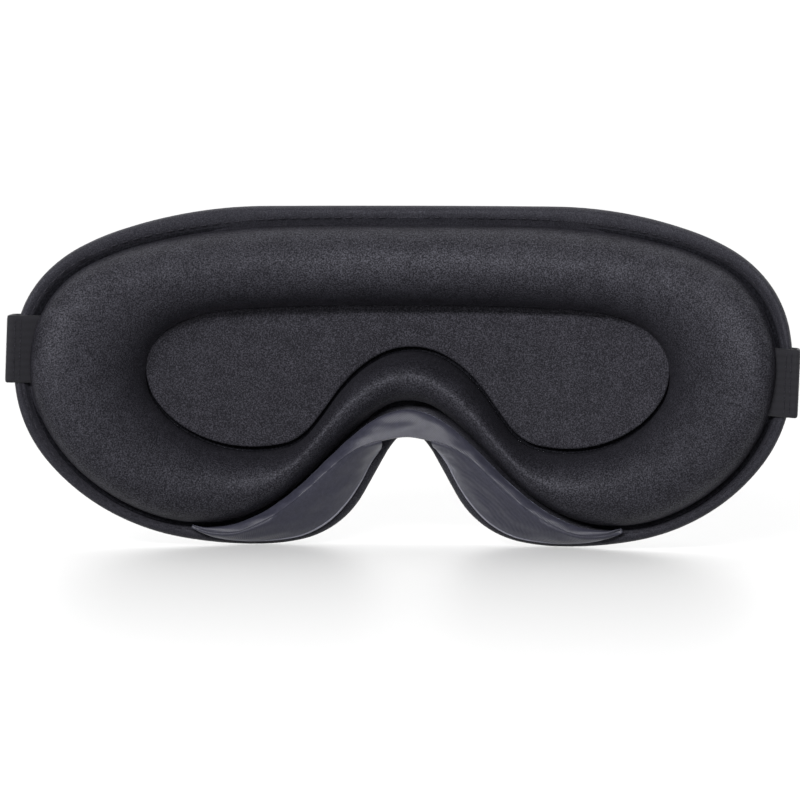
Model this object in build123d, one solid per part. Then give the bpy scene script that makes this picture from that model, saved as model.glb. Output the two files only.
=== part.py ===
from build123d import *
import math
import os

# Contoured sleep eye mask, in millimetres. +X is to the right as seen from the wearer's side, +Y is away
# from the wearer and +Z is up. The mask stands on its two lower lobes, and the origin is at the middle of
# the bottom of its bounding box.
#
# A moulded foam shell with fabric on its front carries a soft foam ring in a fabric cover, which rests on
# the face around the eyes. A thin panel lines the eye space. A satin flap along the nose notch has a wing
# on each side. The elastic strap is in two halves, sewn in under the cushion at the sides. Each half turns
# round the rim and lies on the front of the shell, folded back on itself. The ends carry hook and loop.

# The curved faces. A distance called `out` runs from the wrap surface towards the wearer.
WRAP_RADIUS = 215.0  # the surface that follows the face, about a vertical axis
DOME_RADIUS = 180.0  # the front of the shell, seen from above
DOME_HEIGHT = 12.0  # how far the front stands out from the wrap surface, in the middle
DOME_PROFILE = 154.7  # the front's radius seen from the side
DOME_MIDDLE = 52.0  # the height at which the front stands out most
RIM_OUT = 2.5  # the wearer's side of the rim
CREST_OUT = 15.0  # the top of the cushion ring
MIDDLE_SHIFT = 14.4  # brings the middle of the mask's depth to y = 0
PAST = 70.0  # a length along Y that runs past both faces of the mask
TALL = 200.0  # a height that runs past its top and bottom

# The layers.
FABRIC = 0.6
SHELL_FOAM = 3.4
PANEL_FOAM = 2.0
CAVITY_GAP = 1.6  # the groove between the panel's edge and the ring
SEAM_GAP = 0.1  # clearance from the front fabric's edge to the ring
RIM_ROUND = 1.3
CREST_ROUND = 4.2
COVER_LOFT = 2.4  # the cover with its wadding, over the top of the foam ring

# The elastic strap, in its own plane: u runs to the right along the strap and v is the same as y.
STRAP_WIDTH = 20.0
STRAP_THICK = 1.2
STRAP_HEIGHT = 56.0  # the strap's middle at x = 0
STRAP_SLOPE = 2.24  # degrees: the right end is sewn in lower than the left
TAIL_START = 106.0  # u of the end that is sewn in under the cushion
RIM_SIDE = 116.4  # u of the two folds at the rim
FOLD_NEAR = -37.8  # v of the fold on the wearer's side of the rim
FOLD_FAR = -28.6  # v of the fold on the front side
STORED_RADIUS = 181.6  # the middle line of the strap's lower layer, about the dome's axis
LAYER_STEP = 2.8  # between the middle lines of the lower and the upper layer
OUTER_LINK = 47.0  # lengths along the middle line
MIDDLE_LINK = 60.0
END_LINK = 60.0
LINK_GAP = 0.6  # clearance from a fold line to the strap on either side of it
PATCH_LENGTH = 38.0
PATCH_WIDTH = 18.0
PATCH_THICK = 0.8
PATCH_END = 2.0  # from the patch to the strap's end

# Thread.
STITCH_LENGTH = 4.0
STITCH_PITCH = 6.5
STITCH_WIDTH = 0.6
STITCH_THICK = 0.3
STITCH_MARGIN = 1.5  # from the seam line, or from the edge of a patch
STITCH_LIFT = 0.02  # clearance from the cloth to the thread on it
TAIL_ROWS = (112.9, 114.4)  # u of the two rows that hold the strap to the rim

# The nose flap.
SATIN = 0.8
FLAP_PADDING = 1.2
HEM = 1.6  # the width of the hem along a wing's free edge
HEM_THICK = 0.5
WING_GAP = 0.6  # clearance from the ridge to the wing
LAYER_GAP = 0.1  # clearance between the layers sewn together along the flap
SEWN_GAP = 1.2  # clearance from the flap's sewn edge to the cushion's wall
PADDING_EDGE = 1.0  # from the ridge to the padding
FLAP_REACH = 62.0  # x and z up to which the flap covers the seam
FLAP_TOP = 50.0

# Right halves of the outlines, from the nose round to the top. Each point has x, z and the outline's
# heading there in degrees, and two arcs that meet smoothly join it to the next.
RIM = [
    (0, 33.4, 0), (7.5, 27, -61), (23, 5.4, -34), (45, 0, 0), (89, 10.9, 32), (114.6, 48, 83),
    (106.3, 82.6, 132), (86, 95, 161), (0, 102.2, 180),
]
SEAM = [
    (0, 42, 0), (17, 33, -43), (36, 15.1, -38), (60, 5.9, -2), (95, 19.8, 42), (111.8, 54, 87),
    (95, 85.9, 152), (65, 94.8, 171), (0, 97.7, 180),
]
PANEL = [
    (0, 59.3, 0), (17.6, 51.3, -44), (29.6, 36, -52), (38.5, 30, -12), (68.3, 36, 36), (78.6, 53.6, 90),
    (67, 68.2, 159), (42, 71.7, 178), (0, 72.3, 180),
]

# Right halves of the flap's sewn edge, its ridge and the wing's free edge, as (x, z, out). The wing starts at
# the ridge's second point.
FLAP_SEWN = [
    (0, 41.3, 9), (6.4, 39.8, 9), (12.2, 36.6, 9), (18, 31.8, 9), (24.2, 25.8, 9), (30.2, 19.9, 9),
    (37, 14.2, 8.5), (44, 9.7, 8), (52, 6.5, 7), (59.5, 5.0, 6),
]
FLAP_RIDGE = [
    (0, 33.3, 12.5), (7.5, 32.1, 12.5), (13, 30.4, 12.5), (18.5, 27.1, 12.5), (24, 22.3, 12.5),
    (30, 16.8, 12.3), (36.5, 11.6, 11.8), (43.5, 7.3, 10.8), (51.5, 4.3, 9), (59.5, 3.4, 7),
]
FLAP_FREE = [
    (8.4, 29.8, 6), (11.8, 24.9, 4.4), (15, 18.8, 4.2), (19, 12.8, 4.2), (24.5, 7.2, 4.2), (31.5, 3.4, 4.2),
    (39.5, 1.9, 4.2), (49, 1.7, 4.2), (58, 2.4, 4.2),
]


def wrap_point(x, z, out):
    """The point at (x, z) that lies `out` towards the wearer from the wrap surface."""
    return Vector(x, math.sqrt((WRAP_RADIUS - out) ** 2 - x * x) - WRAP_RADIUS, z)


def towards_wearer(point):
    """The wrap surface's normal at the point."""
    return Vector(-point.X, -point.Y - WRAP_RADIUS, 0).normalized()


def heading(degrees):
    return Vector(math.cos(math.radians(degrees)), math.sin(math.radians(degrees)))


def closed(half):
    """The whole outline, from its right half: two arcs between each point and the next."""
    points = half + [(-x, z, 360 - turn) for x, z, turn in reversed(half[:-1])]
    arcs = []
    for (x0, z0, turn0), (x1, z1, turn1) in zip(points, points[1:]):
        start, end = Vector(x0, z0), Vector(x1, z1)
        go, come = heading(turn0), heading(turn1)
        span, sharp = end - start, 2 * (1 - go.dot(come))
        both = span.dot(go + come)
        if sharp > 1e-6:
            reach = (math.sqrt(both**2 + sharp * span.dot(span)) - both) / sharp
        else:
            reach = span.dot(span) / (2 * both)
        meet = (start + end + (go - come) * reach) / 2
        first = TangentArc(start, meet, tangent=go)
        arcs += [first, TangentArc(meet, end, tangent=first % 1)]
    return Wire(arcs)


def inset(half, distance):
    """The half outline moved inwards by distance."""
    moved = []
    for x, z, turn in half:
        inwards = heading(turn + 90) * distance
        moved.append((x + inwards.X, z + inwards.Y, turn))
    return moved


def prism(half):
    """The outline's area, extruded along Y past both faces of the mask."""
    return extrude(Plane.XZ * make_face(closed(half)), amount=PAST, both=True)


def dome(depth):
    """Everything behind the shell's front surface once that surface is moved inwards by depth."""
    reach = DOME_RADIUS - depth
    radius = DOME_PROFILE - depth
    half_height = TALL * 0.4
    inner = reach - radius + math.sqrt(radius**2 - half_height**2)
    low, high = (inner, -half_height), (inner, half_height)
    side = Polyline(low, (0, -half_height), (0, half_height), high) + ThreePointArc(high, (reach, 0), low)
    body = revolve(Plane.XZ * make_face(side), Axis.Z)
    return Pos(0, DOME_HEIGHT - DOME_RADIUS, DOME_MIDDLE) * body


def wearer_side(out):
    """Everything on the wearer's side of the surface at `out`."""
    return Pos(0, -WRAP_RADIUS, DOME_MIDDLE) * Cylinder(WRAP_RADIUS - out, TALL)


def round_at(solid, out, radius):
    """The solid with the edges of its face at `out` rounded."""
    curved = solid.faces().filter_by(GeomType.CYLINDER)
    level = [face for face in curved if abs(face.radius - WRAP_RADIUS + out) < 1e-3]
    widest = max(level, key=lambda face: face.area)
    return fillet(widest.edges(), radius)


def in_strap_plane(solid):
    """Moves a solid from (u, v, w) at the strap's own middle to its place on the mask."""
    return Pos(0, 0, STRAP_HEIGHT) * Rot(0, STRAP_SLOPE, 0) * solid


def shell():
    """The front fabric with the band round the rim, the moulded foam and the lining behind the cushion."""
    whole = round_at((prism(RIM) & dome(0)) - wearer_side(RIM_OUT), RIM_OUT, RIM_ROUND)
    core = (prism(inset(RIM, FABRIC)) & dome(FABRIC)) - wearer_side(RIM_OUT - FABRIC)
    dish = prism(SEAM) & dome(FABRIC + SHELL_FOAM)
    return {
        "outer_fabric": whole - core - dish,
        "shell_foam": core - dish,
        "lining_fabric": dish - dome(2 * FABRIC + SHELL_FOAM),
    }


def ring(skin):
    """The cushion ring with `skin` taken off its inner and outer walls."""
    walls = prism(inset(SEAM, SEAM_GAP + skin)) - prism(inset(PANEL, -CAVITY_GAP - skin))
    return walls & dome(2 * FABRIC + SHELL_FOAM)


def cushion(tails):
    """The foam ring and its padded fabric cover, which is open at the back where it meets the lining."""
    whole = round_at(ring(0) - wearer_side(CREST_OUT), CREST_OUT, CREST_ROUND)
    foam = ring(FABRIC) - wearer_side(CREST_OUT - COVER_LOFT)
    return {"cushion_foam": foam - tails, "cushion_cover": whole - foam - tails}


def panel():
    """The thin foam sheet that lines the eye space, and the fabric on it."""
    back = 2 * FABRIC + SHELL_FOAM
    sheet = prism(PANEL)
    return {
        "cavity_panel_foam": (sheet & dome(back)) - dome(back + PANEL_FOAM),
        "cavity_panel_fabric": (sheet & dome(back + PANEL_FOAM)) - dome(back + PANEL_FOAM + FABRIC),
    }


def stitch(point, along, up):
    """One stitch lying at the point, along one direction and standing up in another."""
    across = up.cross(along).normalized()
    place = Plane(origin=point + up * (STITCH_THICK / 2 + STITCH_LIFT), x_dir=across.cross(up), z_dir=up)
    return place * Box(STITCH_LENGTH, STITCH_WIDTH, STITCH_THICK)


def seam_stitching(tails):
    """The row of stitches round the rim, just outside the cushion, left out where the strap is sewn in."""
    line = closed(inset(SEAM, -STITCH_MARGIN))
    count = round(line.length / STITCH_PITCH)
    stitches = []
    for i in range(count):
        flat = line @ ((i + 0.5) / count)
        ahead = line @ ((i + 0.6) / count)
        if abs(flat.X) < FLAP_REACH and flat.Y < FLAP_TOP:
            continue
        point = wrap_point(flat.X, flat.Y, RIM_OUT)
        one = stitch(point, wrap_point(ahead.X, ahead.Y, RIM_OUT) - point, towards_wearer(point))
        if all(one.distance_to(tail) > STITCH_THICK for tail in tails):
            stitches.append(one)
    return {"rim_stitching": Compound(stitches)}


def arc_link(side, radius, start, length, thick=STRAP_THICK, width=STRAP_WIDTH):
    """A piece of strap on a circle about the dome's axis. It begins `start` along from the rim."""
    first = math.atan2(RIM_SIDE, FOLD_FAR + DOME_RADIUS - DOME_HEIGHT) - start / radius
    middle = first - length / radius / 2
    last = first - length / radius
    inner, outer = radius - thick / 2, radius + thick / 2

    def at(r, angle):
        return (side * r * math.sin(angle), r * math.cos(angle) - DOME_RADIUS + DOME_HEIGHT)

    outline = ThreePointArc(at(inner, first), at(inner, middle), at(inner, last))
    outline += Line(at(inner, last), at(outer, last))
    outline += ThreePointArc(at(outer, last), at(outer, middle), at(outer, first))
    outline += Line(at(outer, first), at(inner, first))
    return in_strap_plane(extrude(make_face(outline), amount=width / 2, both=True))


def strap_tail(side):
    """The end of the strap that is sewn in under the cushion, out to the fold beside the rim."""
    sheet = wearer_side(RIM_OUT) - wearer_side(RIM_OUT + STRAP_THICK)
    middle = (TAIL_START + RIM_SIDE - LINK_GAP) / 2
    length = RIM_SIDE - LINK_GAP - TAIL_START
    return sheet & in_strap_plane(Pos(side * middle, FOLD_NEAR, 0) * Box(length, 30, STRAP_WIDTH))


def strap_half(side):
    """The links of one half of the strap: round the rim, along the shell in two, and folded back."""
    turn = Pos(side * RIM_SIDE, (FOLD_NEAR + FOLD_FAR) / 2, 0)
    turn_length = FOLD_FAR - FOLD_NEAR - 2 * LINK_GAP
    upper = STORED_RADIUS + LAYER_STEP
    reach = (OUTER_LINK + MIDDLE_LINK) / STORED_RADIUS * upper
    return {
        "turn": in_strap_plane(turn * Box(STRAP_THICK, turn_length, STRAP_WIDTH)),
        "outer": arc_link(side, STORED_RADIUS, LINK_GAP, OUTER_LINK - 2 * LINK_GAP),
        "middle": arc_link(side, STORED_RADIUS, OUTER_LINK + LINK_GAP, MIDDLE_LINK - 2 * LINK_GAP),
        "end": arc_link(side, upper, reach - END_LINK, END_LINK - LINK_GAP),
    }


def patch(side, out):
    """A fastener patch near the end of one half, on the outside or the inside of the upper layer."""
    upper = STORED_RADIUS + LAYER_STEP
    radius = upper + out * (STRAP_THICK + PATCH_THICK) / 2
    face = upper + out * (STRAP_THICK / 2 + PATCH_THICK)
    start = (OUTER_LINK + MIDDLE_LINK) / STORED_RADIUS * upper - END_LINK + PATCH_END
    body = arc_link(side, radius, start * radius / upper, PATCH_LENGTH, PATCH_THICK, PATCH_WIDTH)
    thread_radius = face + out * (STITCH_THICK / 2 + STITCH_LIFT)
    first = start * thread_radius / upper + STITCH_MARGIN
    length = PATCH_LENGTH - 2 * STITCH_MARGIN
    width = PATCH_WIDTH - 2 * STITCH_MARGIN
    plate = arc_link(side, thread_radius, first, length, STITCH_THICK, width)
    inside = 2 * STITCH_WIDTH
    hole_start = first + STITCH_WIDTH
    hole = arc_link(side, thread_radius, hole_start, length - inside, 2 * STITCH_THICK, width - inside)
    return body, plate - hole


def tail_stitching(side):
    """Two rows of thread across the strap where it is sewn to the rim."""
    sheet = wearer_side(RIM_OUT + STRAP_THICK) - wearer_side(RIM_OUT + STRAP_THICK + STITCH_THICK)
    rows = []
    for u in TAIL_ROWS:
        bar = Pos(side * u, FOLD_NEAR, 0) * Box(STITCH_WIDTH, 30, STRAP_WIDTH - 2 * STITCH_MARGIN)
        rows.append(sheet & in_strap_plane(bar))
    return Compound(rows)


def strap(side, name, tail):
    """One half of the strap with its sewn end."""
    parts = {f"strap_{name}_tail": tail, f"strap_{name}_tail_stitching": tail_stitching(side)}
    for link, solid in strap_half(side).items():
        parts[f"strap_{name}_{link}"] = solid
    return parts


def ribbon(edge_a, edge_b, start, thick):
    """A sheet between two lines of points. It lies `start` above them on the wearer's side."""
    sections = []
    for i, (a, b) in enumerate(zip(edge_a, edge_b)):
        along = edge_a[min(i + 1, len(edge_a) - 1)] - edge_a[max(i - 1, 0)]
        up = along.cross(b - a).normalized()
        if up.dot(towards_wearer(a)) < 0:
            up = -up
        low, high = up * start, up * (start + thick)
        sections.append(make_face(Polyline(a + low, b + low, b + high, a + high, close=True)))
    return loft(sections, ruled=True)


def both_halves(half):
    """The points of a line over the whole width, from its right half."""
    right = [wrap_point(*station) for station in half]
    return [Vector(-p.X, p.Y, p.Z) for p in reversed(right[1:])] + right


def between(a, b, distance):
    """Points moved from line a towards line b by a distance."""
    return [p + (q - p).normalized() * distance for p, q in zip(a, b)]


def nose_flap():
    """The satin over the nose notch with its padding, and a hemmed wing below the ridge on each side."""
    seam = closed(inset(SEAM, -SEWN_GAP))
    beside_seam = []
    for x, z, out in FLAP_SEWN:
        nearest = seam.distance_to_with_closest_points(Vector(x, z))[1]
        beside_seam.append((nearest.X, nearest.Y, out))
    sewn, ridge = both_halves(beside_seam), both_halves(FLAP_RIDGE)
    padding_edge = between(ridge, sewn, PADDING_EDGE)
    parts = {
        "nose_flap": ribbon(sewn, ridge, 0, SATIN),
        "nose_flap_padding": ribbon(sewn, padding_edge, -FLAP_PADDING - LAYER_GAP, FLAP_PADDING),
    }
    right_ridge = [wrap_point(*station) for station in FLAP_RIDGE[1:]]
    right_free = [wrap_point(*station) for station in FLAP_FREE]
    upper = between(right_ridge, right_free, WING_GAP)
    wing = ribbon(upper, right_free, 0, SATIN)
    hem = ribbon(between(right_free, upper, HEM), right_free, SATIN + LAYER_GAP, HEM_THICK)
    parts["nose_wing_right"], parts["nose_wing_right_hem"] = wing, hem
    parts["nose_wing_left"] = mirror(wing, about=Plane.YZ)
    parts["nose_wing_left_hem"] = mirror(hem, about=Plane.YZ)
    return parts


if __name__ == "__main__":
    os.makedirs("parts", exist_ok=True)
    tails = [strap_tail(-1), strap_tail(1)]
    loop, loop_thread = patch(-1, 1)
    hook, hook_thread = patch(1, -1)
    nodes = {
        **shell(),
        **cushion(tails),
        **panel(),
        **seam_stitching(tails),
        **nose_flap(),
        **strap(-1, "left", tails[0]),
        **strap(1, "right", tails[1]),
        "loop_patch": loop,
        "loop_patch_stitching": loop_thread,
        "hook_patch": hook,
        "hook_patch_stitching": hook_thread,
    }
    for name, solid in nodes.items():
        export_step(Pos(0, MIDDLE_SHIFT, 0) * solid, f"parts/{name}.step")
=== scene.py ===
import math

import bmesh
import bpy
import numpy as np
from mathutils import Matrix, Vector, noise


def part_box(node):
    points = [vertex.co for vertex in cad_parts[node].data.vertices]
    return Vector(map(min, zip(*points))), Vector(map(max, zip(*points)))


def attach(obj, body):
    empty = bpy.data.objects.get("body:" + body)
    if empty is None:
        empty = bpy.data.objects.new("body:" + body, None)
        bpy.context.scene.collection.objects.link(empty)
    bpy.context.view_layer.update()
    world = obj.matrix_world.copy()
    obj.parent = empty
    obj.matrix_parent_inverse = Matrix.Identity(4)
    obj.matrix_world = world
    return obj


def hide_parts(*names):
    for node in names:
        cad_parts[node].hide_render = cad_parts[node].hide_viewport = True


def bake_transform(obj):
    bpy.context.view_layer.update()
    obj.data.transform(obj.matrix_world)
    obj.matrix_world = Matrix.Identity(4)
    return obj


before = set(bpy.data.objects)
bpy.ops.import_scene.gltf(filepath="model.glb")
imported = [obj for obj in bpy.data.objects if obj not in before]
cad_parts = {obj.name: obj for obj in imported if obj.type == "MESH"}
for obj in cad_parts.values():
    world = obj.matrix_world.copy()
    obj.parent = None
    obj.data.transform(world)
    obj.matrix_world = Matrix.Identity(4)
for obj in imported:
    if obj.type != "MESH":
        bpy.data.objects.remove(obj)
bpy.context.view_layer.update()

# Lengths are in millimetres until a mesh is made, and in metres for the stage and the camera. `out` is a
# distance from the wrap surface towards the wearer, which is -Y.
MM = 0.001
WRAP_RADIUS = 215.0  # the surface that follows the face, about a vertical axis
DOME_RADIUS = 180.0  # the front of the shell, seen from above
DOME_HEIGHT = 12.0  # how far the front stands out from the wrap surface, in the middle
DOME_PROFILE = 154.7  # the front's radius seen from the side
DOME_MIDDLE = 52.0  # the height at which the front stands out most
Y0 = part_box("outer_fabric")[1].y / MM - DOME_HEIGHT  # the wrap surface in the middle of the mask

# Each outline is the CAD's right half, from bottom to top: x, z and the direction there in degrees.

RIM = [
    (0, 33.4, 0), (7.5, 27, -61), (23, 5.4, -34), (45, 0, 0), (89, 10.9, 32), (114.6, 48, 83),
    (106.3, 82.6, 132), (86, 95, 161), (0, 102.2, 180),
]
SEAM = [
    (0, 42, 0), (17, 33, -43), (36, 15.1, -38), (60, 5.9, -2), (95, 19.8, 42), (111.8, 54, 87),
    (95, 85.9, 152), (65, 94.8, 171), (0, 97.7, 180),
]
PANEL = [
    (0, 59.3, 0), (17.6, 51.3, -44), (29.6, 36, -52), (38.5, 30, -12), (68.3, 36, 36), (78.6, 53.6, 90),
    (67, 68.2, 159), (42, 71.7, 178), (0, 72.3, 180),
]

# The lines of the nose flap, from the middle to the right: x, z and out. Its tips reach 5 mm further than
# the CAD's.
FLAP_SEWN = [
    (0, 41.3, 9), (6.4, 39.8, 9), (12.2, 36.6, 9), (18, 31.8, 9), (24.2, 25.8, 9), (30.2, 19.9, 9),
    (37, 14.2, 8.5), (44, 9.7, 8), (52, 6.5, 7), (59.5, 5.6, 6), (64.5, 6.4, 4.6),
]
FLAP_RIDGE = [
    (0, 33.3, 12.5), (7.5, 32.1, 12.5), (13, 30.4, 12.5), (18.5, 27.1, 12.5), (24, 22.3, 12.5),
    (30, 16.8, 12.3), (36.5, 11.6, 11.8), (43.5, 7.3, 10.8), (51.5, 4.3, 9), (59.5, 4.4, 6.6),
    (64.5, 6.2, 4.6),
]
FLAP_FREE = [
    (8.4, 29.8, 6), (11.8, 24.9, 4.4), (15, 18.8, 4.2), (19, 12.8, 4.2), (24.5, 7.2, 4.2),
    (31.5, 3.4, 4.2), (39.5, 1.9, 4.2), (49, 1.7, 4.2), (58, 3.0, 4.2), (64.5, 6.0, 4.4),
]


def wrap_y(x, out):
    """The y of a point at the given distance from the wrap surface."""
    return np.sqrt((WRAP_RADIUS - out) ** 2 - x * x) - WRAP_RADIUS + Y0


def dome_y(x, z, depth):
    """The y of a point at the given depth under the front of the shell."""
    reach = DOME_RADIUS - DOME_PROFILE + np.sqrt((DOME_PROFILE - depth) ** 2 - (z - DOME_MIDDLE) ** 2)
    return np.sqrt(reach**2 - x * x) - DOME_RADIUS + DOME_HEIGHT + Y0


def dome_layer(depth):
    """A surface for two_faced that lies at one depth under the front of the shell."""
    return lambda x, z, d: dome_y(x, z, depth)


def smooth(a, b, t):
    """A smooth step from 0 at a to 1 at b."""
    s = np.clip((t - a) / (b - a), 0, 1)
    return s * s * (3 - 2 * s)


def unit(vector):
    return vector / np.linalg.norm(vector)


def heading_at(degrees):
    angle = math.radians(degrees)
    return np.array([math.cos(angle), math.sin(angle)])


def arc_points(start, heading, end, steps):
    """Points along the arc that leaves start in the given direction and ends at end."""
    chord = end - start
    bend = math.atan2(heading[0] * chord[1] - heading[1] * chord[0], heading @ chord)
    if abs(bend) < 1e-4:
        return [start + chord * i / steps for i in range(steps)]
    across = np.array([-heading[1], heading[0]])
    radius = np.linalg.norm(chord) / (2 * math.sin(bend))
    centre = start + across * radius
    points = []
    for i in range(steps):
        turn = 2 * bend * i / steps
        points.append(centre + radius * (heading * math.sin(turn) - across * math.cos(turn)))
    return points


def outline(half, steps=14):
    """The closed outline as an array of (x, z): two smooth arcs between each point and the next."""
    nodes = half + [(-x, z, 360 - turn) for x, z, turn in reversed(half[:-1])]
    points = []
    for (x0, z0, turn0), (x1, z1, turn1) in zip(nodes, nodes[1:]):
        start, end = np.array([x0, z0]), np.array([x1, z1])
        go, come = heading_at(turn0), heading_at(turn1)
        span, sharp = end - start, 2 * (1 - go @ come)
        both = span @ (go + come)
        if sharp > 1e-6:
            reach = (math.sqrt(both**2 + sharp * (span @ span)) - both) / sharp
        else:
            reach = span @ span / (2 * both)
        meet = (start + end + (go - come) * reach) / 2
        points += arc_points(start, go, meet, steps)
        chord = unit(meet - start)
        points += arc_points(meet, 2 * (go @ chord) * chord - go, end, steps)
    return np.array(points)


def away_from(loop):
    """The unit direction out of the closed loop at each of its points."""
    along = np.roll(loop, -1, 0) - np.roll(loop, 1, 0)
    return np.stack([along[:, 1], -along[:, 0]], 1) / np.linalg.norm(along, axis=1)[:, None]


def edge_distance(points, loop):
    """Distance from each (x, z) to the closed loop, positive inside it."""
    a, b = loop, np.roll(loop, -1, 0)
    d = b - a
    found, inside = [], []
    for chunk in np.array_split(points, max(1, len(points) // 2000)):
        rel = chunk[:, None, :] - a[None]
        t = np.clip((rel * d).sum(2) / (d * d).sum(1), 0, 1)
        gap = rel - t[..., None] * d
        found.append(np.sqrt((gap * gap).sum(2).min(1)))
        above = (a[:, 1] > chunk[:, 1:2]) != (b[:, 1] > chunk[:, 1:2])
        cross = a[:, 0] + (chunk[:, 1:2] - a[:, 1]) * d[:, 0] / np.where(d[:, 1] == 0, 1e-9, d[:, 1])
        inside.append((above & (chunk[:, 0:1] < cross)).sum(1) % 2 == 1)
    return np.concatenate(found) * np.where(np.concatenate(inside), 1, -1)


def mesh_piece(name, points, faces, material):
    """A new object from points in millimetres."""
    mesh = bpy.data.meshes.new(name)
    mesh.from_pydata((np.asarray(points) * MM).tolist(), [], faces)
    mesh.validate()
    mesh.polygons.foreach_set("use_smooth", [True] * len(mesh.polygons))
    mesh.materials.append(material)
    piece = bpy.data.objects.new(name, mesh)
    bpy.context.scene.collection.objects.link(piece)
    return piece


def outward(piece):
    """Turns the faces of a closed mesh to point out of it."""
    shape = bmesh.new()
    shape.from_mesh(piece.data)
    bmesh.ops.remove_doubles(shape, verts=shape.verts, dist=1e-6)
    bmesh.ops.recalc_face_normals(shape, faces=shape.faces)
    shape.to_mesh(piece.data)
    shape.free()
    piece.data.polygons.foreach_set("use_smooth", [True] * len(piece.data.polygons))
    return piece


def wobble(x, y, z, size, seed=0.0):
    """Smooth noise at each point, about -1 to 1, with features of the given size in millimetres."""
    return np.array([noise.noise(Vector((a / size + seed, b / size, c / size))) for a, b, c in zip(x, y, z)])


def two_faced(name, loop, front, back, material, columns, rows):
    """A closed form between two surfaces y = front(x, z, d) and back(x, z, d) that meet along the loop."""
    low_x, high_x = loop[:, 0].min(), loop[:, 0].max()
    left, right = loop[:, 0].argmin(), loop[:, 0].argmax()
    ring = np.roll(loop, -left, 0)
    turn = (right - left) % len(loop)
    bottom, top = ring[: turn + 1], np.vstack([ring[turn:], ring[:1]])[::-1]
    xs = low_x + (high_x - low_x) * (0.5 - 0.5 * np.cos(np.linspace(0, math.pi, columns + 1)))
    z_low = np.interp(xs, bottom[:, 0], bottom[:, 1])
    z_high = np.interp(xs, top[:, 0], top[:, 1])
    share = 0.5 - 0.5 * np.cos(np.linspace(0, math.pi, rows + 1))
    x = np.repeat(xs, rows + 1)
    z = (z_low[:, None] + (z_high - z_low)[:, None] * share).ravel()
    d = np.maximum(edge_distance(np.stack([x, z], 1), loop), 0)
    sides = [np.stack([x, f(x, z, d), z], 1) for f in (front, back)]
    border = d < 1e-3
    middle = (sides[0][:, 1] + sides[1][:, 1]) / 2
    for side in sides:
        side[border, 1] = middle[border]
    count = len(x)
    faces = []
    for i in range(columns):
        for j in range(rows):
            a, b = i * (rows + 1) + j, (i + 1) * (rows + 1) + j
            faces.append((a, b, b + 1, a + 1))
            faces.append((a + count, a + 1 + count, b + 1 + count, b + count))
    piece = mesh_piece(name, np.vstack(sides), faces, material)
    return outward(piece)


def swept(name, sections, closed_loop, material):
    """A closed form through sections, each a closed polygon with the same number of points.

    It is a ring if closed_loop is true. Otherwise its two ends are capped, with sharp edges.
    """
    sections = np.asarray(sections)
    count, size = sections.shape[:2]
    faces = []
    last = count if closed_loop else count - 1
    for i in range(last):
        for j in range(size):
            a, b = i * size, (i + 1) % count * size
            k = (j + 1) % size
            faces.append((a + j, b + j, b + k, a + k))
    if not closed_loop:
        faces.append(tuple(range(size)))
        faces.append(tuple(range((count - 1) * size, count * size)))
    piece = outward(mesh_piece(name, sections.reshape(-1, 3), faces, material))
    if not closed_loop:
        piece.data.set_sharp_from_angle(angle=math.radians(65))
    return piece


# Materials ------------------------------------------------------------------------------------------


def new_material(name):
    """The material, its nodes, its links and its shader."""
    material = bpy.data.materials.new(name)
    material.use_nodes = True
    nodes = material.node_tree.nodes
    return material, nodes, material.node_tree.links, nodes["Principled BSDF"]


def node(nodes, kind, **values):
    """A new node. Each value goes to the input of that name, or to the node's own setting."""
    made = nodes.new(kind)
    for key, value in values.items():
        if key in made.inputs:
            made.inputs[key].default_value = value
        else:
            setattr(made, key, value)
    return made


def knit(name, colour, contrast, speck, bump, roughness, gloss):
    """Brushed heather knit: bright specks in the colour and the gloss, and a fine nap in the bump.

    A broad noise shifts the specks a little. speck is their number in a metre.
    """
    material, nodes, links, shader = new_material(name)
    place = node(nodes, "ShaderNodeTexCoord")
    fine = node(nodes, "ShaderNodeTexNoise", Scale=speck, Detail=1.5, Roughness=0.6)
    broad = node(nodes, "ShaderNodeTexNoise", Scale=speck / 14, Detail=2.0, Roughness=0.5)
    mix = node(nodes, "ShaderNodeMath", operation="MULTIPLY_ADD")
    ramp = node(nodes, "ShaderNodeValToRGB")
    for source in (fine, broad):
        links.new(place.outputs["Object"], source.inputs["Vector"])
    links.new(broad.outputs["Fac"], mix.inputs[0])
    mix.inputs[1].default_value = 0.14
    links.new(fine.outputs["Fac"], mix.inputs[2])
    low, high = ramp.color_ramp.elements
    low.position, high.position = 0.50, 0.85
    low.color = (*[c * (1 - contrast) for c in colour], 1)
    high.color = (*[c * (1 + contrast * 1.9) for c in colour], 1)
    links.new(mix.outputs[0], ramp.inputs["Fac"])
    links.new(ramp.outputs["Color"], shader.inputs["Base Color"])
    nap = node(nodes, "ShaderNodeTexNoise", Scale=speck * 1.1, Detail=2.0, Roughness=0.7)
    links.new(place.outputs["Object"], nap.inputs["Vector"])
    relief = node(nodes, "ShaderNodeBump", Strength=bump, Distance=0.0004)
    links.new(nap.outputs["Fac"], relief.inputs["Height"])
    links.new(relief.outputs["Normal"], shader.inputs["Normal"])
    spread = {"From Min": 0.42, "From Max": 0.78, "To Min": gloss * 0.35, "To Max": gloss * 1.8}
    glint = node(nodes, "ShaderNodeMapRange", **spread)
    links.new(mix.outputs[0], glint.inputs["Value"])
    links.new(glint.outputs["Result"], shader.inputs["Specular IOR Level"])
    shader.inputs["Roughness"].default_value = roughness
    shader.inputs["Specular Tint"].default_value = (0.88, 0.88, 1.0, 1)
    return material


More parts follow.
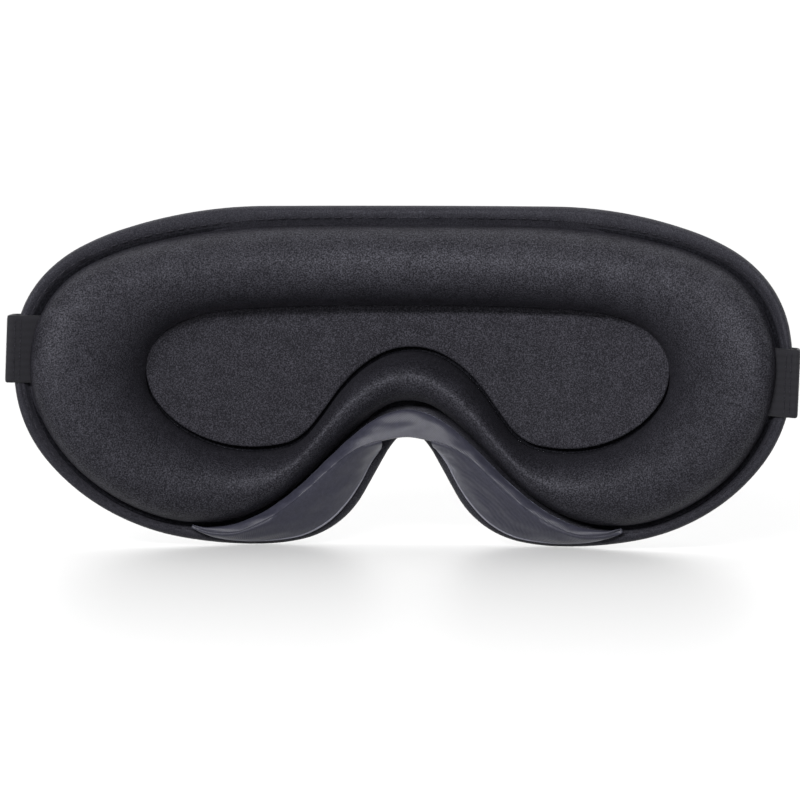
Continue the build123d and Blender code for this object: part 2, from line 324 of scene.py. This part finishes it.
def satin_cloth(name, colour, roughness):
    """Satin: a fine mottle in the colour, fine close lines in the bump, and a sheen."""
    material, nodes, links, shader = new_material(name)
    place = node(nodes, "ShaderNodeTexCoord")
    weave = node(nodes, "ShaderNodeTexWave", Scale=900.0, Distortion=1.2, Detail=1.0)
    weave.bands_direction = "DIAGONAL"
    mottle = node(nodes, "ShaderNodeTexNoise", Scale=900.0, Detail=3.0, Roughness=0.7)
    ramp = node(nodes, "ShaderNodeValToRGB")
    for source in (weave, mottle):
        links.new(place.outputs["Object"], source.inputs["Vector"])
    low, high = ramp.color_ramp.elements
    low.position, high.position = 0.3, 0.75
    low.color = (*[c * 0.8 for c in colour], 1)
    high.color = (*[c * 1.2 for c in colour], 1)
    links.new(mottle.outputs["Fac"], ramp.inputs["Fac"])
    links.new(ramp.outputs["Color"], shader.inputs["Base Color"])
    relief = node(nodes, "ShaderNodeBump", Strength=0.25, Distance=0.0002)
    links.new(weave.outputs["Fac"], relief.inputs["Height"])
    links.new(relief.outputs["Normal"], shader.inputs["Normal"])
    shader.inputs["Roughness"].default_value = roughness
    shader.inputs["Sheen Weight"].default_value = 0.25
    shader.inputs["Sheen Roughness"].default_value = 0.35
    shader.inputs["Sheen Tint"].default_value = (0.75, 0.78, 1.0, 1)
    return material


def ribbed(name, colour, pitch):
    """Woven elastic: close ribs along the band, broken up by fine yarn. pitch is in millimetres."""
    material, nodes, links, shader = new_material(name)
    place = node(nodes, "ShaderNodeTexCoord")
    ribs = node(nodes, "ShaderNodeTexWave", Scale=math.pi / (20 * pitch * MM), Distortion=0.15)
    ribs.bands_direction = "Z"
    yarn = node(nodes, "ShaderNodeTexNoise", Scale=1800.0, Detail=2.0)
    both = node(nodes, "ShaderNodeMath", operation="MULTIPLY_ADD")
    ramp = node(nodes, "ShaderNodeValToRGB")
    for source in (ribs, yarn):
        links.new(place.outputs["Object"], source.inputs["Vector"])
    links.new(yarn.outputs["Fac"], both.inputs[0])
    both.inputs[1].default_value = 0.5
    links.new(ribs.outputs["Fac"], both.inputs[2])
    ramp.color_ramp.elements[0].color = (*[c * 0.88 for c in colour], 1)
    ramp.color_ramp.elements[1].color = (*[c * 1.12 for c in colour], 1)
    links.new(both.outputs[0], ramp.inputs["Fac"])
    links.new(ramp.outputs["Color"], shader.inputs["Base Color"])
    relief = node(nodes, "ShaderNodeBump", Strength=0.3, Distance=0.00015)
    links.new(both.outputs[0], relief.inputs["Height"])
    links.new(relief.outputs["Normal"], shader.inputs["Normal"])
    shader.inputs["Roughness"].default_value = 0.8
    shader.inputs["Specular IOR Level"].default_value = 0.25
    shader.inputs["Sheen Weight"].default_value = 0.12
    return material


def pile(name, colour, cell, strength):
    """Fastener tape: a close field of loops or hooks, each a cell of the given size in millimetres."""
    material, nodes, links, shader = new_material(name)
    place = node(nodes, "ShaderNodeTexCoord")
    cells = node(nodes, "ShaderNodeTexVoronoi", Scale=1000 / cell, Randomness=0.8)
    ramp = node(nodes, "ShaderNodeValToRGB")
    links.new(place.outputs["Object"], cells.inputs["Vector"])
    ramp.color_ramp.elements[0].color = (*[c * 1.6 for c in colour], 1)
    ramp.color_ramp.elements[1].color = (*[c * 0.4 for c in colour], 1)
    links.new(cells.outputs["Distance"], ramp.inputs["Fac"])
    links.new(ramp.outputs["Color"], shader.inputs["Base Color"])
    relief = node(nodes, "ShaderNodeBump", Strength=strength, Distance=0.0005)
    relief.invert = True
    links.new(cells.outputs["Distance"], relief.inputs["Height"])
    links.new(relief.outputs["Normal"], shader.inputs["Normal"])
    shader.inputs["Roughness"].default_value = 0.75
    return material


cushion_cloth = knit(
    "cushion_cloth", (0.0221, 0.0214, 0.0275),
    contrast=0.52, speck=2500.0, bump=0.3, roughness=0.6, gloss=0.37,
)
panel_cloth = knit(
    "panel_cloth", (0.0370, 0.0360, 0.0440), contrast=0.5, speck=2500.0, bump=0.28, roughness=0.8, gloss=0.14
)
shell_cloth = knit(
    "shell_cloth", (0.0285, 0.028, 0.035), contrast=0.25, speck=3000.0, bump=0.15, roughness=0.6, gloss=0.2
)
lining_cloth = knit(
    "lining_cloth", (0.010, 0.010, 0.013), contrast=0.4, speck=1800.0, bump=0.4, roughness=0.9, gloss=0.1
)
thread_yarn = knit(
    "thread_yarn", (0.030, 0.029, 0.036), contrast=0.4, speck=4000.0, bump=0.4, roughness=0.7, gloss=0.2
)
satin = satin_cloth("satin", (0.040, 0.040, 0.060), roughness=0.42)
# The hem's satin is the flap's satin painted six times lighter: a painted highlight along the flap's free
# edge.
satin_painted_highlight = satin_cloth("satin_painted_highlight", (0.24, 0.24, 0.29), roughness=0.5)
elastic = ribbed("elastic", (0.015, 0.0146, 0.0185), pitch=1.1)
loop_pile = pile("loop_pile", (0.030, 0.030, 0.034), cell=0.7, strength=0.8)
hook_tape = pile("hook_tape", (0.022, 0.022, 0.025), cell=1.0, strength=1.0)

# The shell --------------------------------------------------------------------------------------------

EDGE_OUT = 0.6  # the very edge of the rim
FRONT_ROUND = 7.0  # the width over which the front rounds off towards the rim
BAND_SWELL = 2.7  # how far the rim band swells, and the width over which it does
BAND_ROUND = 1.9
SEAM_MARK = 0.35  # the depth of the line that the seam's stitches press into the band
SEAM_STEP = 1.6  # the drop from the band to the cushion's foot
LINING_DEPTH = 4.0  # the lining's two faces, under the front of the shell
LINING_UNDER = 4.6

rim_loop = outline(RIM, 16)
seam_loop = outline(SEAM)
panel_loop = outline(PANEL)


def round_off(d, radius):
    """How far a surface has dropped from its level at distance d from a rounded edge."""
    near = np.clip(1 - d / radius, 0, 1)
    return radius * (1 - np.sqrt(1 - near**2))


def shell_front(x, z, d):
    """The front: it rounds off towards the rim."""
    edge = wrap_y(x, EDGE_OUT)
    rise = dome_y(x, z, 0.0) - edge
    share = np.sqrt(1 - np.clip(1 - d / FRONT_ROUND, 0, 1) ** 2.4)
    return edge + rise * share


def shell_back(x, z, d):
    """The rim band: it swells between its edge and the stitched seam, and dips into the seam."""
    inside = edge_distance(np.stack([x, z], 1), seam_loop)
    edge = wrap_y(x, EDGE_OUT)
    swell = BAND_SWELL * np.sqrt(1 - np.clip(1 - d / BAND_ROUND, 0, 1) ** 2.2) - EDGE_OUT
    crown = 0.15 * np.sin(np.clip(d, 0, 4) / 4 * math.pi)
    dip = SEAM_MARK * np.exp(-((inside + 1.0) / 0.4) ** 2) + SEAM_STEP * smooth(-0.7, 0.3, inside)
    band_y = np.where(d < 1e-3, edge, wrap_y(x, EDGE_OUT + swell + crown - dip))
    under = smooth(1.2, 3.2, inside)
    return band_y * (1 - under) + dome_y(x, z, LINING_DEPTH - 0.1) * under


shell = two_faced("shell_cover", rim_loop, shell_front, shell_back, shell_cloth, 260, 72)
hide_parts("outer_fabric", "shell_foam")
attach(shell, "mask")

lining = two_faced(
    "lining_sheet", seam_loop, dome_layer(LINING_DEPTH), dome_layer(LINING_UNDER),
    lining_cloth, 120, 30,
)
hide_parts("lining_fabric")
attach(lining, "mask")

# The eye panel ----------------------------------------------------------------------------------------


PANEL_DEPTH = 4.75  # the panel's face on the lining
PANEL_TOP = 7.3  # its face towards the wearer
PANEL_ROUND = 0.8


def panel_back(x, z, d):
    """The face towards the wearer: rounded at its edge and slightly uneven."""
    uneven = 0.25 * np.sin(x / 17.0) * np.sin(z / 11.0) * smooth(0, 8, d)
    return dome_y(x, z, PANEL_TOP - round_off(d, PANEL_ROUND) + uneven)


panel = two_faced(
    "eye_panel", panel_loop, dome_layer(PANEL_DEPTH), panel_back, panel_cloth, 160, 36
)
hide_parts("cavity_panel_foam", "cavity_panel_fabric")
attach(panel, "mask")

# The cushion ring -------------------------------------------------------------------------------------

SEAM_STRIP = 1.4  # the flat strip beside the seam
RING_FOOT = 0.8  # the ring's foot at the seam
RING_CREST = 14.6  # the top of its crest
RING_DEPTH = 4.8  # its foot at the panel, under the front of the shell
TUCK = 0.3  # how far the foot reaches under the panel
GROOVE = 1.7  # how much further out it stays along the panel's lower edges
PROFILE_POINTS = 49
UNDERSIDE_POINTS = 5


def ring_sections():
    """Sections of the ring, each from the seam over the crest to the panel and back underneath."""
    normal = away_from(panel_loop)
    below = np.clip(-normal[:, 1:], 0, 1) ** 0.7
    inner = panel_loop + normal * (GROOVE * below - TUCK)
    over = 0.5 - 0.5 * np.cos(np.linspace(0, math.pi, PROFILE_POINTS))
    across = np.concatenate([over, np.linspace(1, 0, UNDERSIDE_POINTS + 2)[1:-1]])
    sections = []
    for (xo, zo), (xi, zi) in zip(seam_loop, inner):
        x, z = xo + (xi - xo) * across, zo + (zi - zo) * across
        strip = SEAM_STRIP / math.hypot(xi - xo, zi - zo)
        bulge = np.clip((across - strip) / (1 - strip), 0, 1)
        height = (2 * np.sqrt(bulge * (1 - bulge))) ** 0.92
        height[PROFILE_POINTS:] = 0
        base = wrap_y(x, RING_FOOT) * (1 - across) + dome_y(x, z, RING_DEPTH) * across
        y = base + (wrap_y(x, RING_CREST) - base) * height
        lumps = wobble(x, y, z, 21) * 0.5 + wobble(x, y, z, 9, 5.0) * 0.22
        sections.append(np.stack([x, y - lumps * height, z], 1))
    return sections


cushion = swept("cushion_ring", ring_sections(), True, cushion_cloth)
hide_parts("cushion_cover", "cushion_foam")
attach(cushion, "mask")

# The nose flap ----------------------------------------------------------------------------------------

FLAP_PUFF = 0.5  # how far the cloth puffs out between its lines, and the height of its wrinkles
FLAP_WRINKLE = 0.5
HEM_RADIUS = 0.5


def through(half, mirrored, steps=8):
    """Points along a smooth line through (x, z, out) stations, over the whole width or the right half."""
    stations = [(-x, z, o) for x, z, o in reversed(half[1:])] + list(half) if mirrored else list(half)
    s = np.array(stations, float)
    before, after = np.vstack([2 * s[0] - s[1], s[:-1]]), np.vstack([s[1:], 2 * s[-1] - s[-2]])
    slope = (after - before) / 2
    line = []
    for i in range(len(s) - 1):
        for t in np.arange(steps) / steps:
            h00, h10 = 2 * t**3 - 3 * t**2 + 1, t**3 - 2 * t**2 + t
            h01, h11 = -2 * t**3 + 3 * t**2, t**3 - t**2
            line.append(h00 * s[i] + h10 * slope[i] + h01 * s[i + 1] + h11 * slope[i + 1])
    line.append(s[-1])
    line = np.array(line)
    return np.stack([line[:, 0], wrap_y(line[:, 0], line[:, 2]), line[:, 1]], 1)


def cloth_between(name, first, second, thick, rows=14):
    """A closed sheet of satin between two lines, puffed out and wrinkled most half way between them."""
    along = np.gradient(first, axis=0)
    span = second - first
    up = np.cross(along, span)
    up /= np.linalg.norm(up, axis=1)[:, None]
    wearer = np.stack([-first[:, 0], -(first[:, 1] - Y0) - WRAP_RADIUS, 0 * first[:, 0]], 1)
    up *= np.sign((up * wearer).sum(1))[:, None]
    share = np.linspace(0, 1, rows + 1)
    sections = []
    for i in range(len(first)):
        line = first[i] + span[i] * share[:, None]
        swell = FLAP_PUFF * np.sin(share * math.pi) ** 0.8
        x, y, z = line.T
        crease = wobble(x * 0.55, y, z * 1.4, 4.2, 3.0) * FLAP_WRINKLE * np.sin(share * math.pi)
        top = line + up[i] * (swell + crease + thick / 2)[:, None]
        low = line + up[i] * (swell + crease - thick / 2)[:, None]
        top[0], low[0] = top[0] * 0.7 + low[0] * 0.3, low[0] * 0.7 + top[0] * 0.3
        sections.append(np.vstack([top, low[::-1]]))
    return swept(name, sections, False, satin)


def hem_sections(line):
    """Sections of a thin round hem along the line."""
    sections = []
    for i, point in enumerate(line):
        along = unit(line[min(i + 1, len(line) - 1)] - line[max(i - 1, 0)])
        sideways = unit(np.cross(along, (0, 1, 0)))
        other = np.cross(along, sideways)
        turn = np.linspace(0, 2 * math.pi, 9)[:-1, None]
        sections.append(point + HEM_RADIUS * (np.cos(turn) * sideways + np.sin(turn) * other))
    return sections


sewn, ridge = through(FLAP_SEWN, True), through(FLAP_RIDGE, True)
flap = cloth_between("nose_flap_satin", sewn, ridge, thick=0.8)
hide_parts("nose_flap", "nose_flap_padding")
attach(flap, "mask")

for side, sign in (("left", -1), ("right", 1)):
    upper = through(FLAP_RIDGE[1:], False) * (sign, 1, 1)
    lower = through(FLAP_FREE, False) * (sign, 1, 1)
    wing = cloth_between(f"nose_wing_{side}_satin", upper, lower, thick=0.7)
    # The hem wears the lighter satin, which paints a highlight along the wing's free edge.
    hem = swept(f"nose_wing_{side}_edge", hem_sections(lower), False, satin_painted_highlight)
    body = f"nose_wing_{side}"
    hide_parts(body)
    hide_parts(f"{body}_hem")
    middle = len(upper) // 2
    start = Vector(upper[middle]) * MM
    for piece in (wing, hem):
        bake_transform(piece)

# Stitches round the rim -------------------------------------------------------------------------------

# A stitch along its length: the share of its length from its middle, and of its radius.
STITCH_PROFILE = ((-0.5, 0.35), (-0.36, 0.85), (0, 1.0), (0.36, 0.85), (0.5, 0.35))
STITCH_SIDES = 6
RIM_STITCH_PITCH = 3.3
RIM_STITCH_OUT = 2.55
RIM_STITCH_MARGIN = 1.0  # from the seam
FLAP_SIDE, FLAP_TOP = 62, 50  # the flap covers the seam up to this x and z
TAIL_SIDE, TAIL_REACH = 104, 11.5  # the strap covers it past this x, this far from its own middle
STRAP_HEIGHT = 56.0  # the strap's middle at x = 0
STRAP_FALL = 0.0391  # how far it drops to the right, in each unit of x


def stitches(name, places, length, radius, body, node_name):
    """Short rounded stitches, each given as a middle, a direction and an upward normal."""
    points, faces = [], []
    last = len(STITCH_PROFILE) - 1
    for middle, direction, normal in places:
        along, up = unit(direction), unit(normal)
        across = np.cross(along, up)
        base = len(points)
        for k, (s, r) in enumerate(STITCH_PROFILE):
            lift = radius * (0.5 - 2.2 * s * s)
            for turn in np.linspace(0, 2 * math.pi, STITCH_SIDES + 1)[:-1]:
                ring = across * math.cos(turn) + up * math.sin(turn) * 0.8
                points.append(middle + along * s * length + up * lift + ring * radius * r)
            if k:
                a, b = base + (k - 1) * STITCH_SIDES, base + k * STITCH_SIDES
                for j in range(STITCH_SIDES):
                    ahead = (j + 1) % STITCH_SIDES
                    faces.append((a + j, b + j, b + ahead, a + ahead))
        faces.append(tuple(range(base, base + STITCH_SIDES)))
        faces.append(tuple(range(base + last * STITCH_SIDES, base + (last + 1) * STITCH_SIDES)))
    piece = outward(mesh_piece(name, points, faces, thread_yarn))
    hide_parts(node_name)
    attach(piece, body)


def spaced(points, pitch):
    """Evenly spaced places along an open line, with the direction there."""
    steps = np.linalg.norm(np.diff(points, axis=0), axis=1)
    run = np.concatenate([[0], np.cumsum(steps)])
    count = int(run[-1] / pitch)
    at = (np.arange(count) + 0.5) * run[-1] / count
    place = np.stack([np.interp(at, run, points[:, i]) for i in range(points.shape[1])], 1)
    ahead = np.stack([np.interp(at + 0.3, run, points[:, i]) for i in range(points.shape[1])], 1)
    return place, ahead - place


rim_places = []
stitch_line = seam_loop + away_from(seam_loop) * RIM_STITCH_MARGIN
place, along = spaced(np.vstack([stitch_line, stitch_line[:1]]), RIM_STITCH_PITCH)
for (x, z), (dx, dz) in zip(place, along):
    under_flap = abs(x) < FLAP_SIDE and z < FLAP_TOP
    beside_tail = abs(x) > TAIL_SIDE and abs(z - STRAP_HEIGHT + x * STRAP_FALL) < TAIL_REACH
    if under_flap or beside_tail:
        continue
    y = wrap_y(x, RIM_STITCH_OUT)
    dy = wrap_y(x + dx, RIM_STITCH_OUT) - y
    towards_wearer = np.array([-x, -(y - Y0) - WRAP_RADIUS, 0])
    rim_places.append((np.array([x, y, z]), np.array([dx, dy, dz]), towards_wearer))
stitches("rim_stitches", rim_places, 2.3, 0.26, "mask", "rim_stitching")

# The strap --------------------------------------------------------------------------------------------

# In the strap's own plane u runs along the strap and v is y, and w runs across the strap.
SLOPE = math.radians(2.24)
HALF_WIDTH = 10.0
STRAP_THICK = 1.15
SELVEDGE = 0.7
RIM_SIDE = 116.4  # u of the two folds at the rim
FOLD_NEAR, FOLD_FAR = -37.8, -28.6  # v of the fold on the wearer's side of the rim and on the front side
CORNER = 1.3  # how far a corner's rounding reaches from it
TAIL_START, TAIL_OUT = 107, 3.1  # u at which the tail starts, and its distance from the wrap surface
TAIL_ROWS = (112.9, 114.4)  # u of the two rows that hold the strap to the rim
TAIL_ROW_OUT = 3.75
OUTER_LINK, MIDDLE_LINK, END_LINK = 47.0, 60.0, 59.4  # lengths along the middle line
PATCH_START, PATCH_LENGTH, PATCH_THICK = 20, 38, 0.75  # the start is measured from the last fold
PATCH_HALF_WIDTH = 9.0
PATCH_LIFT = 0.99  # from the strap's middle line to the patch's
PATCH_STITCH_LIFT = 1.5

STORED, STEP = 181.6, 2.8  # the radius of the strap's lower layer, and the step to the upper one
UPPER = STORED + STEP
AXIS_V = DOME_HEIGHT - DOME_RADIUS
# Angles of the fold lines about the dome's axis: at the rim and where the strap turns back.
FIRST = math.atan2(RIM_SIDE, FOLD_FAR - AXIS_V)
FOLD_ANGLE = FIRST - (OUTER_LINK + MIDDLE_LINK) / STORED


def in_place(u, v, w):
    """From the strap's own plane to the mask."""
    return np.array([
        u * math.cos(SLOPE) + w * math.sin(SLOPE),
        v + Y0,
        STRAP_HEIGHT - u * math.sin(SLOPE) + w * math.cos(SLOPE),
    ])


def on_circle(radius, angle):
    return np.array([radius * math.sin(angle), radius * math.cos(angle) + AXIS_V])


def arc(radius, start, end, count):
    return np.array([on_circle(radius, t) for t in np.linspace(start, end, count)])


def corner(before, at, after):
    """A rounded corner in place of a sharp one."""
    start, end = at + unit(before - at) * CORNER, at + unit(after - at) * CORNER
    t = np.linspace(0, 1, 7)[:, None]
    return (1 - t) ** 2 * start + 2 * t * (1 - t) * at + t**2 * end


def turn_back():
    """The half turn from the strap's lower layer to its upper one."""
    middle, out = on_circle(STORED + STEP / 2, FOLD_ANGLE), STEP / 2
    points = []
    for t in np.linspace(0.25, math.pi - 0.25, 9):
        u = -math.sin(t) * math.cos(FOLD_ANGLE) - math.cos(t) * math.sin(FOLD_ANGLE)
        v = math.sin(t) * math.sin(FOLD_ANGLE) - math.cos(t) * math.cos(FOLD_ANGLE)
        points.append(middle + out * np.array([u, v]))
    return points


def strap_paths():
    """The strap's middle line in its own plane, in the runs that make its pieces."""
    mid_outer = FIRST - OUTER_LINK / 2 / STORED
    mid_middle = FIRST - (OUTER_LINK + MIDDLE_LINK / 2) / STORED
    near_fold = np.array([RIM_SIDE, FOLD_NEAR])
    far_fold = np.array([RIM_SIDE, FOLD_FAR])
    half_turn = np.array([RIM_SIDE, (FOLD_NEAR + FOLD_FAR) / 2])
    tail_u = np.linspace(TAIL_START, RIM_SIDE - 1.6, 8)
    tail = np.stack([tail_u, np.sqrt((WRAP_RADIUS - TAIL_OUT) ** 2 - tail_u**2) - WRAP_RADIUS], 1)
    after_far = FIRST - 3 / STORED
    after_fold = FOLD_ANGLE + 4 / UPPER
    rim_corner = corner(half_turn, far_fold, on_circle(STORED, after_far))
    return {
        "root": np.vstack([tail, corner(tail[-1], near_fold, half_turn), half_turn[None]]),
        "rim": np.vstack([half_turn[None], rim_corner, arc(STORED, after_far, mid_outer, 12)]),
        "bend": arc(STORED, mid_outer, mid_middle, 30),
        "fold": np.vstack([
            arc(STORED, mid_middle, FOLD_ANGLE, 18), turn_back(), arc(UPPER, FOLD_ANGLE, after_fold, 4)
        ]),
        "end": arc(UPPER, after_fold, FOLD_ANGLE + END_LINK / UPPER, 28),
    }


def band(name, path, sign, thick, half_width, material, offset=0.0, crown=0.0):
    """A flat band along the path with rounded selvedges."""
    along = np.gradient(path, axis=0)
    along /= np.linalg.norm(along, axis=1)[:, None]
    normals = np.stack([-along[:, 1], along[:, 0]], 1)
    lanes = half_width * np.sin(np.linspace(-math.pi / 2, math.pi / 2, 15))
    round_edge = np.sqrt(1 - np.clip((np.abs(lanes) - half_width + SELVEDGE) / SELVEDGE, 0, 0.98) ** 2)
    swell = round_edge * (1 + crown * np.cos(lanes / half_width * math.pi / 2))
    sections = []
    for (u, v), (nu, nv) in zip(path, normals):
        sides = []
        for half_thick in (thick / 2, -thick / 2):
            lifts = offset + half_thick * swell
            sides.append([in_place(sign * (u + nu * h), v + nv * h, w) for w, h in zip(lanes, lifts)])
        sections.append(sides[0] + sides[1][::-1])
    return swept(name, sections, False, material)


def tail_places(sign):
    """Places of the two rows of stitches that hold a strap's tail."""
    places = []
    for u in TAIL_ROWS:
        v = math.sqrt((WRAP_RADIUS - TAIL_ROW_OUT) ** 2 - u * u) - WRAP_RADIUS
        for w in np.arange(-8.4, 8.5, 1.2):
            spot = in_place(sign * u, v, w)
            ahead = in_place(sign * u, v, w + 1)
            places.append((spot, ahead - spot, np.array([-spot[0], -WRAP_RADIUS, 0])))
    return places


def patch_places(sign, face, start):
    """Places of the stitches round a patch, on the outer face of the strap end (1) or the inner one (-1)."""
    radius = UPPER + face * PATCH_STITCH_LIFT

    def spot(t, w):
        u, v = on_circle(radius, t)
        return in_place(sign * u, v, w)

    places = []
    for w in (-7.4, 7.4):
        for t in np.arange(start + 1.7 / UPPER, start + 36.4 / UPPER, 1.9 / UPPER):
            normal = face * np.array([sign * math.sin(t), math.cos(t), 0])
            places.append((spot(t, w), spot(t + 0.01, w) - spot(t, w), normal))
    for t in (start + 1.7 / UPPER, start + 36.3 / UPPER):
        normal = face * np.array([sign * math.sin(t), math.cos(t), 0])
        for w in np.arange(-6.5, 6.6, 1.85):
            places.append((spot(t, w), spot(t, w + 1) - spot(t, w), normal))
    return places


paths = strap_paths()
for side, sign, patch, face, tape, tape_slot in (
    ("left", -1, "loop_patch", 1, loop_pile, "loop_pile"),
    ("right", 1, "hook_patch", -1, hook_tape, "hook_tape"),
):
    name = f"strap_{side}"
    bands = {}
    for key, path in paths.items():
        bands[key] = band(f"{name}_{key}_band", path, sign, STRAP_THICK, HALF_WIDTH, elastic)
    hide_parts(f"{name}_tail")
    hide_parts(f"{name}_turn")
    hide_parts(f"{name}_outer")
    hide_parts(f"{name}_middle")
    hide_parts(f"{name}_end")
    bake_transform(bands["root"])
    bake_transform(bands["rim"])
    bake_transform(bands["bend"])
    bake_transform(bands["fold"])
    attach(bands["end"], f"{name}_end")
    stitches(f"{name}_tail_stitches", tail_places(sign), 1.0, 0.16, "mask", f"{name}_tail_stitching")

    start = FOLD_ANGLE + PATCH_START / UPPER
    run = arc(UPPER, start, start + PATCH_LENGTH / UPPER, 26)
    lift = -face * PATCH_LIFT
    pad = band(f"{patch}_pad", run, sign, PATCH_THICK, PATCH_HALF_WIDTH, tape, lift, 0.1)
    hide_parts(patch)
    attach(pad, f"{name}_end")
    border = patch_places(sign, face, start)
    stitches(f"{patch}_stitches", border, 1.5, 0.16, f"{name}_end", f"{patch}_stitching")

# The stage --------------------------------------------------------------------------------------------

bpy.ops.mesh.primitive_plane_add(size=30, location=(0, 0, -0.0002))
floor = bpy.context.object
floor.name = "floor"
# The floor lets some light through, so that its bounce doesn't flatten the shading of the dark cloth.
floor_paint, _, _, floor_shader = new_material("floor_paint")
floor_shader.inputs["Base Color"].default_value = (0.6, 0.6, 0.6, 1)
floor_shader.inputs["Roughness"].default_value = 0.4
floor_shader.inputs["Alpha"].default_value = 0.78
floor.data.materials.append(floor_paint)

# The world is bright beyond the mask and dim on the camera's side, so the dark cloth keeps its shading.
world = bpy.data.worlds.new("studio")
bpy.context.scene.world = world
world.use_nodes = True
sky = world.node_tree.nodes
sky["Background"].inputs["Strength"].default_value = 1.65
sky_way = node(sky, "ShaderNodeTexCoord")
sky_parts = node(sky, "ShaderNodeSeparateXYZ")
fade = {"From Min": -0.25, "From Max": 0.2, "To Min": 0.05, "To Max": 1.0}
shade = node(sky, "ShaderNodeMapRange", interpolation_type="SMOOTHSTEP", **fade)
world.node_tree.links.new(sky_way.outputs["Generated"], sky_parts.inputs["Vector"])
world.node_tree.links.new(sky_parts.outputs["Y"], shade.inputs["Value"])
world.node_tree.links.new(shade.outputs["Result"], sky["Background"].inputs["Color"])


def soft_light(name, location, aim, size, watts):
    light = bpy.data.lights.new(name, "AREA")
    light.shape = "RECTANGLE"
    light.size, light.size_y = size
    light.energy = watts
    lamp = bpy.data.objects.new(name, light)
    lamp.location = location
    lamp.rotation_mode = "QUATERNION"
    lamp.rotation_quaternion = (Vector(aim) - Vector(location)).to_track_quat("-Z", "Y")
    bpy.context.scene.collection.objects.link(lamp)


soft_light("front_strip", location=(-0.2, -1.09, 0.56), aim=(0, 0, 0.05), size=(0.8, 0.12), watts=15)

camera = bpy.data.cameras.new("camera")
camera.lens = 195.1
camera.sensor_width = 36
camera.clip_start, camera.clip_end = 0.05, 50
viewer = bpy.data.objects.new("camera", camera)
azimuth, elevation, distance = math.radians(5), math.radians(4), 1.3
level = math.cos(elevation)
to_viewer = Vector((math.sin(azimuth) * level, -math.cos(azimuth) * level, math.sin(elevation)))
facing = (-to_viewer).to_track_quat("-Z", "Y")
mask_middle = Vector((0, (Y0 - 10) * MM, DOME_MIDDLE * MM))
framing = Vector((2.2 * MM, 7.8 * MM, 0))  # how far right and up the mask stands in the picture
viewer.location = mask_middle - facing @ framing + to_viewer * distance
viewer.rotation_mode = "QUATERNION"
viewer.rotation_quaternion = facing
bpy.context.scene.collection.objects.link(viewer)
bpy.context.scene.camera = viewer
bpy.context.scene.view_settings.view_transform = "Standard"
